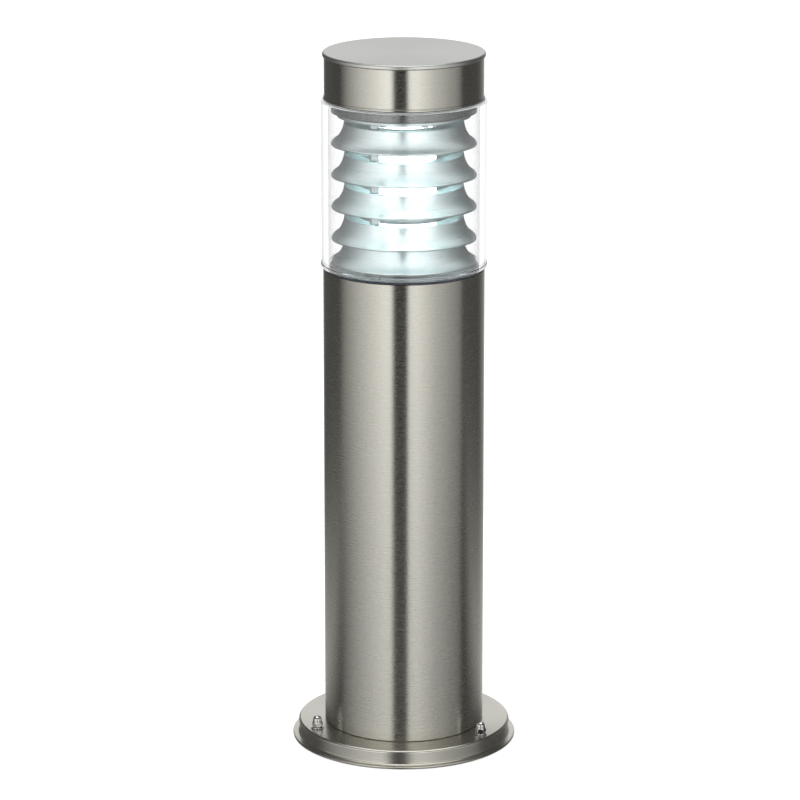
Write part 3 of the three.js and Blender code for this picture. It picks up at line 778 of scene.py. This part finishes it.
def rod_nut(side):
    node = f"rod_nut_{side}"
    span = Span(node)
    apothem = NUT_APOTHEM
    corner = apothem / math.cos(math.pi / 6)
    drop = 0.4 * MM
    outline = [
        Vector((ROD_HOLE, span.bottom)),
        Vector((apothem - 0.1 * MM, span.bottom)),
        *bend(
            (apothem, span.bottom + 0.02 * MM),
            (apothem + 0.3 * MM, span.bottom + 0.1 * MM),
            (corner, span.bottom + drop),
            4,
        ),
        *bend(
            (corner, span.top - drop),
            (apothem + 0.3 * MM, span.top - 0.1 * MM),
            (apothem, span.top - 0.02 * MM),
            4,
        ),
        Vector((apothem - 0.1 * MM, span.top)),
        Vector((ROD_HOLE, span.top)),
    ]
    remade(node, outline, 72, span.centre.xy, hexagon_limit(apothem))


# ---------- lampholder and lamp ----------


def lampholder_body():
    """The porcelain cup, with a glazed bead at its mouth and a groove half way up."""
    span = Span("lampholder_body")
    bore, wire_bore, floor = 15 * MM, 5 * MM, span.bottom + 5 * MM
    waist = span.bottom + 12 * MM
    corners = [
        (wire_bore, span.bottom, 0.4 * MM),
        (span.radius, span.bottom, 1.2 * MM),
        (span.radius, waist, 0.6 * MM),
        (span.radius - 1 * MM, waist + 1 * MM, 0.6 * MM),
        (span.radius - 1 * MM, waist + 4 * MM, 0.6 * MM),
        (span.radius, waist + 5 * MM, 0.6 * MM),
        (span.radius, span.top - 5 * MM, 1.5 * MM),
        (span.radius - 1.5 * MM, span.top, 1.2 * MM),
        (bore, span.top, 1.0 * MM),
        (bore, floor, 0.8 * MM),
        (wire_bore, floor, 0.4 * MM),
    ]
    remade("lampholder_body", rounded(corners), 96)


def lamp_screw_shell():
    """The rolled thread of the lamp's screw cap."""
    span = Span("lamp_screw_shell")
    pitch, depth, wall = 3.6 * MM, 1.3 * MM, 0.5 * MM
    thread_from, thread_to = span.bottom + 3 * MM, span.top - 2.5 * MM
    steps = 56
    outer = column(span.radius, thread_from, span.top, steps)
    inner = [Vector((p.x - wall, p.y)) for p in reversed(outer)]
    foot = bend(
        (6 * MM, span.bottom),
        (span.radius - 1.6 * MM, span.bottom),
        (span.radius - depth / 2, span.bottom + 2.8 * MM),
        8,
    )
    back = [Vector((p.x - wall * 0.7, p.y + wall)) for p in reversed(foot)]

    def radius_at(r, angle, z):
        if r < span.radius - wall - 1e-6 or z < thread_from:
            return r
        wave = 0.5 - 0.5 * math.cos(math.tau * z / pitch - angle)
        fade = min(1.0, (z - thread_from) / pitch + 0.2, max(0.0, (thread_to - z) / pitch * 2))
        return r - depth * wave * fade

    remade("lamp_screw_shell", foot + outer + inner + back, COARSE, (0, 0), radius_at)


def lamp_body():
    """The lamp's white housing: a cone with a rounded shoulder and cooling ribs."""
    span = Span("lamp_body")
    foot = 14.2 * MM
    wall = 1.6 * MM
    shoulder = span.top - 4 * MM
    side = bend(
        (foot, span.bottom),
        (foot + 5.5 * MM, span.bottom + 7 * MM),
        (span.radius, shoulder),
        16,
    )
    inner = [Vector((p.x - wall, p.y)) for p in reversed(side)]
    outline = [*side, Vector((span.radius, span.top)), Vector((span.radius - wall, span.top)), *inner]
    ribs, groove = 24, 0.5 * MM

    def radius_at(r, angle, z):
        from_foot = max(0.0, (z - span.bottom) / (3 * MM))
        to_shoulder = max(0.0, (shoulder - z) / (2 * MM))
        rise = min(1.0, from_foot, to_shoulder)
        return r - groove * rise * (0.5 - 0.5 * math.cos(ribs * angle)) ** 4

    remade("lamp_body", outline, 240, (0, 0), radius_at)


def lamp_diffuser():
    """The opal dome: a short straight neck under a half ball."""
    span = Span("lamp_diffuser")
    wall = 1.2 * MM
    dome = span.top - span.radius
    inner = arc((0, dome), span.radius - wall, 90, 0, 20)
    outer = arc((0, dome), span.radius, 0, 90, 20)
    inner[0].x = outer[-1].x = 0.0
    neck = [
        Vector((span.radius - wall, span.bottom)),
        Vector((span.radius - 0.3 * MM, span.bottom)),
        Vector((span.radius, span.bottom + 0.3 * MM)),
    ]
    remade("lamp_diffuser", inner + neck + outer, 96)


# ---------- CAD nodes that stay ----------


def finish_cad_nodes():
    """Gives each CAD node that is still shown its finish and smooth round faces."""
    for node, piece in frame["nodes"].items():
        if piece.hide_render:
            continue
        piece.data.materials.clear()
        # The lamp plate takes its painted-light white here, in place of its slot's finish.
        piece.data.materials.append(PAINTED_LIGHT_FINISH.get(node, FINISHES[SLOT_OF[node]]))
        weld = piece.modifiers.new("weld", "WELD")
        weld.merge_threshold = 0.001 * MM
        piece.data.shade_smooth()
        piece.data.set_sharp_from_angle(angle=SMOOTH_LIMIT)
        edge = piece.modifiers.new("edge", "BEVEL")
        edge.width = 0.12 * MM
        edge.segments = 2
        edge.limit_method = "ANGLE"
        edge.angle_limit = math.radians(40)


# ---------- studio ----------

FLOOR_RADIUS = 4.0
FLOOR_DEPTH = 20 * MM
SHEEN_RADIUS = 0.7
BEHIND_GLOW = 0.35
WHITE = 1.02  # the backdrop
THROUGH_WALLS = 1.3  # the backdrop, as the clear cylinder's walls let it through
FLOOR_LIGHT = 1.6  # what lights the floor and other dull surfaces

# Brightness round the horizon: (degrees, value), where 0 degrees is at the camera.
OUTSIDE_BOXES = [
    (-180, 0.95), (-172, 0.95), (-160, 0.1), (-104, 0.07), (-92, 0.33), (-70, 0.72), (-45, 1.15),
    (-26, 1.5), (-19, 1.5), (-13, 0.0), (3, 0.0), (8, 1.4), (18, 1.45), (45, 0.82), (71, 0.48),
    (86, 0.32), (93, 0.07), (135, 0.08), (158, 0.3), (170, 0.95), (180, 0.95),
]
INSIDE_BOXES = [
    (-180, 0.06), (-128, 0.14), (-105, 0.3), (-86, 0.62), (-57, 1.15), (-24, 1.65), (-9, 1.6),
    (-6, 0.1), (1, 0.1), (5, 1.6), (24, 1.65), (45, 1.3), (70, 0.64), (100, 0.22), (124, 0.08),
    (180, 0.05),
]


def studio_floor():
    floor = lathe("studio_floor", disc(FLOOR_RADIUS, -FLOOR_DEPTH, 0), COARSE)
    n = Surface("studio floor")
    grain = n.noise(n.place(), 300, 4, 0.6)
    rough = n.remap(grain, 0.3, 0.7, 0.75, 0.85)
    n.set(Base_Color=rgba(0.93, 0.93, 0.93), Roughness=rough, Specular_IOR_Level=0.2)
    floor.data.materials.append(n.material)
    floor.location.z = -0.2 * MM
    floor.visible_glossy = False
    floor.visible_transmission = False


def floor_sheen():
    """What a polished part sees of the floor: a satin sheet that only reflections meet.
    It glows a little behind the light, which softens the foot of the post's dark edges."""
    sheet = lathe("floor_sheen", disc(SHEEN_RADIUS, -2 * MM, -MM), COARSE)
    n = Surface("floor sheen")
    place = n.place()
    depth = n.add("SeparateXYZ", None, Vector=place).outputs["Y"]
    behind = n.remap(depth, 0.0, 0.12, 0.0, 1.0)
    near = n.remap(n.vector("LENGTH", place), SHEEN_RADIUS / 2, SHEEN_RADIUS, BEHIND_GLOW, 0.0)
    n.set(Base_Color=rgba(0.76, 0.76, 0.75), Metallic=1.0, Roughness=0.26)
    n.set(Emission_Color=rgba(1, 1, 0.97), Emission_Strength=n.math("MULTIPLY", behind, near))
    sheet.data.materials.append(n.material)
    for ray in ("camera", "diffuse", "transmission", "shadow"):
        setattr(sheet, "visible_" + ray, False)


def round_horizon(n, turn, boxes):
    """A colour ramp round the horizon, from (degrees, value) stops."""
    ramp = n.add("ValToRGB", None, i0=turn)
    stops = ramp.color_ramp.elements
    while len(stops) < len(boxes):
        stops.new(0.5)
    peak = max(value for _, value in boxes)
    for stop, (degrees, value) in zip(stops, boxes):
        stop.position = (degrees + 180) / 360
        stop.color = rgba(*(value / peak,) * 3)
    return n.math("MULTIPLY", ramp.outputs["Color"], peak)


def studio_world():
    """Plain white surroundings. Glossy surfaces see soft boxes beside the camera instead,
    between dark walls, with a dark band above the horizon and a bright patch overhead."""
    world = bpy.data.worlds.new("studio")
    world.use_nodes = True
    bpy.context.scene.world = world
    n = Nodes(world.node_tree)
    n.tree.nodes.clear()
    direction = n.add("SeparateXYZ", None, Vector=n.add("TexCoord").outputs["Generated"]).outputs
    azimuth = n.math("ARCTAN2", direction["X"], n.math("MULTIPLY", direction["Y"], -1.0))
    turn = n.remap(azimuth, -math.pi, math.pi, 0.0, 1.0)
    path = n.add("LightPath").outputs

    def rises(low, high):
        """0 below one height of the sky and 1 above another, with a soft edge."""
        smooth = {"interpolation_type": "SMOOTHSTEP"}
        return n.add("MapRange", smooth, i0=direction["Z"], i1=low, i2=high, i3=0.0, i4=1.0).outputs[0]

    def passed(kind, count):
        return n.math("GREATER_THAN", path[kind + " Depth"], count)

    overhead = n.mix(rises(0.78, 0.92), 0.06, 1.8)
    outside = n.mix(rises(0.38, 0.5), round_horizon(n, turn, OUTSIDE_BOXES), overhead)
    inside = n.mix(rises(-0.4, -0.05), 0.05, round_horizon(n, turn, INSIDE_BOXES))
    inside = n.mix(rises(0.3, 0.95), inside, 1.3)
    reflected = n.mix(passed("Transmission", 3.5), outside, inside)
    in_wall = n.math("COMPARE", path["Transmission Depth"], 2.0, 1.5)
    glossy = n.math("SUBTRACT", passed("Glossy", 0.5), in_wall)
    backdrop = n.mix(passed("Transmission", 0.5), WHITE, THROUGH_WALLS)
    plain = n.mix(passed("Diffuse", 0.5), backdrop, FLOOR_LIGHT)
    light = n.add("Background", None, Color=rgba(1, 1, 1), Strength=n.mix(glossy, plain, reflected))
    out = n.add("OutputWorld")
    n.tree.links.new(light.outputs[0], out.inputs["Surface"])


def light_paths():
    """Light runs many times back and forth inside the clear cylinder's wall."""
    cycles = bpy.context.scene.cycles
    cycles.max_bounces = 48
    cycles.glossy_bounces = 32
    cycles.transmission_bounces = 32


def camera():
    """A long lens, 15 degrees above the horizon."""
    distance, elevation = 2.8105, 0.2662
    aim = Vector((-2.8 * MM, 0, 0.249))
    back = Vector((0, -math.cos(elevation), math.sin(elevation)))
    data = bpy.data.cameras.new("camera")
    data.lens, data.sensor_width = 178, 36
    data.clip_end = 50
    made = bpy.data.objects.new("camera", data)
    bpy.context.scene.collection.objects.link(made)
    made.location = aim + back * distance
    made.rotation_euler = (-back).to_track_quat("-Z", "Y").to_euler()
    bpy.context.scene.camera = made


# ---------- the whole light ----------

base_cover()
for i in (1, 2, 3):
    acorn_nut(i)
    fixing_washer(i)
body_tube()
clear_cylinder()
gaskets()
cap_spigot()
cap_skirt()
cap_lid()
louvre_top_ring()
for i in range(1, 6):
    louvre_ring(i)
for side in (1, 2):
    tie_rod(side)
    rod_nut(side)
    for i in range(1, 7):
        spacer(side, i)
lampholder_body()
lamp_screw_shell()
lamp_body()
lamp_diffuser()
finish_cad_nodes()

studio_floor()
floor_sheen()
studio_world()
light_paths()
camera()
bpy.context.scene.view_settings.view_transform = "Standard"
